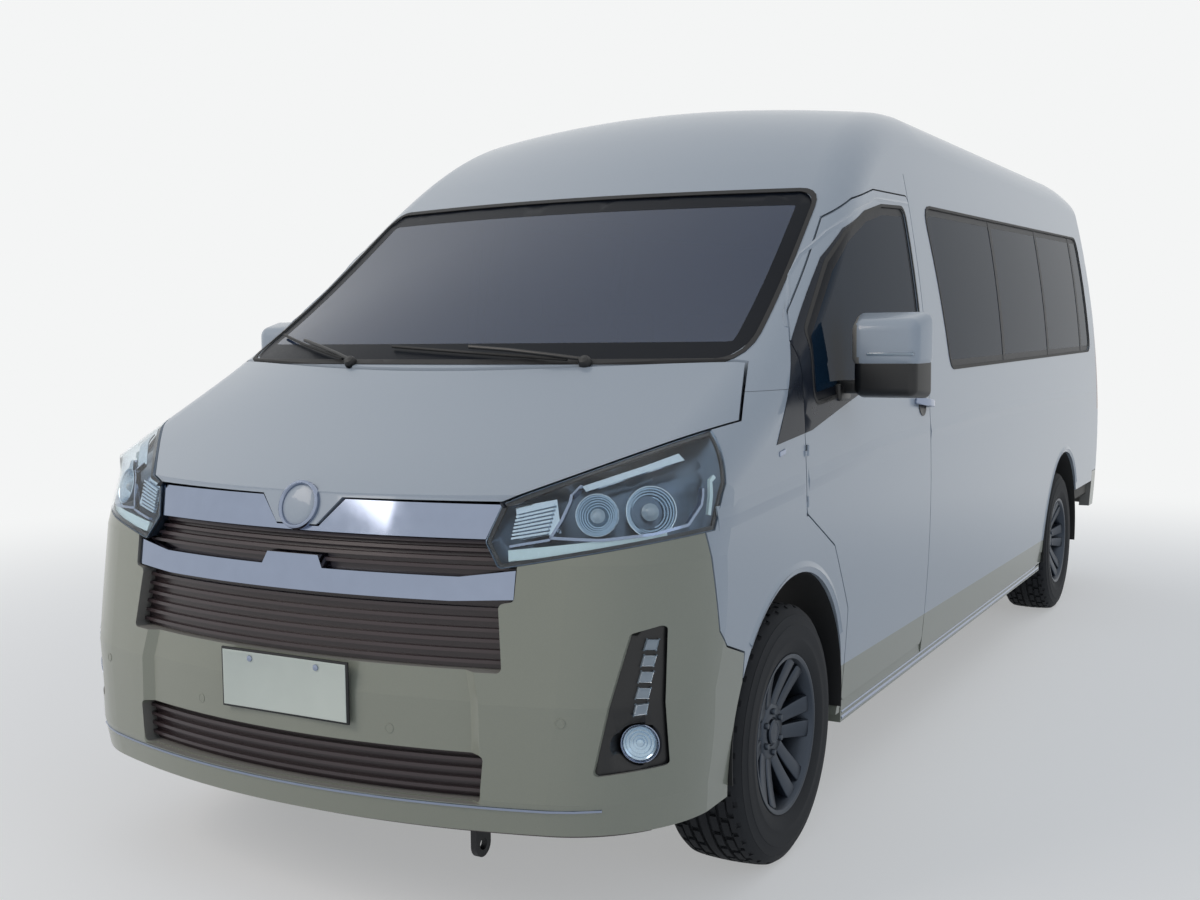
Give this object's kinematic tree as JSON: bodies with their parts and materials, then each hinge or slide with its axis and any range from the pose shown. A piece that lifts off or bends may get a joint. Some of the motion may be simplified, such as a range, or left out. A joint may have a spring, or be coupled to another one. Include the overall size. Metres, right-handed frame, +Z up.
{
  "type": "high-roof passenger minibus",
  "caption": "Long high-roof minibus with a short bonnet, opening front doors, bonnet and tailgate, steered front wheels and rows of seats.",
  "frame": {"origin": "on the ground, under the middle of the length and width", "axes": "+Z up, -Y forward, +X to the vehicle's left"},
  "size_m": [2.45, 5.913, 2.2861],
  "materials": {
    "pearl_white": "gloss",
    "champagne": "gloss",
    "chrome_trim": "polished",
    "black_plastic": "satin",
    "dark_glass": "gloss",
    "lamp_lens": "gloss",
    "red_lens": "gloss",
    "tyre": "matte",
    "alloy": "machined",
    "under_paint": "matte",
    "cast_iron": "rough",
    "seat_fabric": "woven",
    "grey_plastic": "grained"
  },
  "bodies": {
    "body": {"roof_panel": "pearl_white", "front_frame": "pearl_white", "body_side_left": "pearl_white", "body_side_right": "pearl_white", "front_wings": "pearl_white", "front_bumper": "champagne", "side_glass": "dark_glass", "windscreen": "dark_glass", "headlamps": "lamp_lens", "rear_bumper": "champagne", "tail_lamps": "red_lens", "floor_pan": "under_paint", "bulkhead": "under_paint", "front_subframe": "cast_iron", "engine_block": "cast_iron", "rear_axle": "cast_iron", "propeller_shaft": "cast_iron", "fuel_tank": "black_plastic", "exhaust": "cast_iron", "spare_wheel": "tyre", "sill_covers": "champagne", "front_tow_eye": "cast_iron", "rear_tow_eye": "cast_iron", "dashboard": "grey_plastic", "front_seats": "seat_fabric", "passenger_seats": "seat_fabric", "grille": "black_plastic", "grille_chrome": "chrome_trim", "fog_lamps": "black_plastic", "sliding_door": "pearl_white"},
    "bonnet": {"bonnet": "pearl_white"},
    "tailgate": {"tailgate": "pearl_white", "tailgate_glass": "dark_glass"},
    "door_left": {"front_door_left": "pearl_white", "door_glass_left": "dark_glass", "mirror_left": "pearl_white"},
    "door_right": {"front_door_right": "pearl_white", "door_glass_right": "dark_glass", "mirror_right": "pearl_white"},
    "knuckle_left": {"knuckle_left": "cast_iron"},
    "knuckle_right": {"knuckle_right": "cast_iron"},
    "steering_wheel": {"steering_wheel": "grey_plastic"},
    "wheel_front_left": {"tyre_front_left": "tyre", "rim_front_left": "alloy"},
    "wheel_front_right": {"tyre_front_right": "tyre", "rim_front_right": "alloy"},
    "wheel_rear_left": {"tyre_rear_left": "tyre", "rim_rear_left": "alloy"},
    "wheel_rear_right": {"tyre_rear_right": "tyre", "rim_rear_right": "alloy"}
  },
  "joints": [
    {"name": "steer_left", "type": "hinge", "parent": "body", "child": "knuckle_left", "pos_m": [0.79, -2, 0.35], "axis": [0, 0, 1], "range_deg": [-35, 35]},
    {"name": "steer_right", "type": "hinge", "parent": "body", "child": "knuckle_right", "pos_m": [-0.79, -2, 0.35], "axis": [0, 0, 1], "range_deg": [-35, 35]},
    {"name": "steering_wheel_turn", "type": "hinge", "parent": "body", "child": "steering_wheel", "pos_m": [0.43, -1.5, 1.12], "axis": [0, 0.866, 0.5], "range_deg": [-560, 560]},
    {"name": "wheel_front_left_spin", "type": "hinge", "parent": "knuckle_left", "child": "wheel_front_left", "pos_m": [0.837, -2, 0.35], "axis": [1, 0, 0], "continuous": true},
    {"name": "wheel_front_right_spin", "type": "hinge", "parent": "knuckle_right", "child": "wheel_front_right", "pos_m": [-0.837, -2, 0.35], "axis": [1, 0, 0], "continuous": true},
    {"name": "wheel_rear_left_spin", "type": "hinge", "parent": "body", "child": "wheel_rear_left", "pos_m": [0.837, 1.86, 0.35], "axis": [1, 0, 0], "continuous": true},
    {"name": "wheel_rear_right_spin", "type": "hinge", "parent": "body", "child": "wheel_rear_right", "pos_m": [-0.837, 1.86, 0.35], "axis": [1, 0, 0], "continuous": true},
    {"name": "door_left_swing", "type": "hinge", "parent": "body", "child": "door_left", "pos_m": [0.974, -1.925, 0.9], "axis": [0, 0, -1], "range_deg": [0, 68]},
    {"name": "door_right_swing", "type": "hinge", "parent": "body", "child": "door_right", "pos_m": [-0.974, -1.925, 0.9], "axis": [0, 0, 1], "range_deg": [0, 68]},
    {"name": "bonnet_lift", "type": "hinge", "parent": "body", "child": "bonnet", "pos_m": [0, -2.1, 1.366], "axis": [-1, 0, 0], "range_deg": [0, 55]},
    {"name": "tailgate_lift", "type": "hinge", "parent": "body", "child": "tailgate", "pos_m": [0, 2.878, 2.1225], "axis": [1, 0, 0], "range_deg": [0, 86]}
  ],
  "couplings": [
    {"joint": "steer_right", "follows": "steer_left", "ratio": 1},
    {"joint": "steering_wheel_turn", "follows": "steer_left", "ratio": -16}
  ]
}
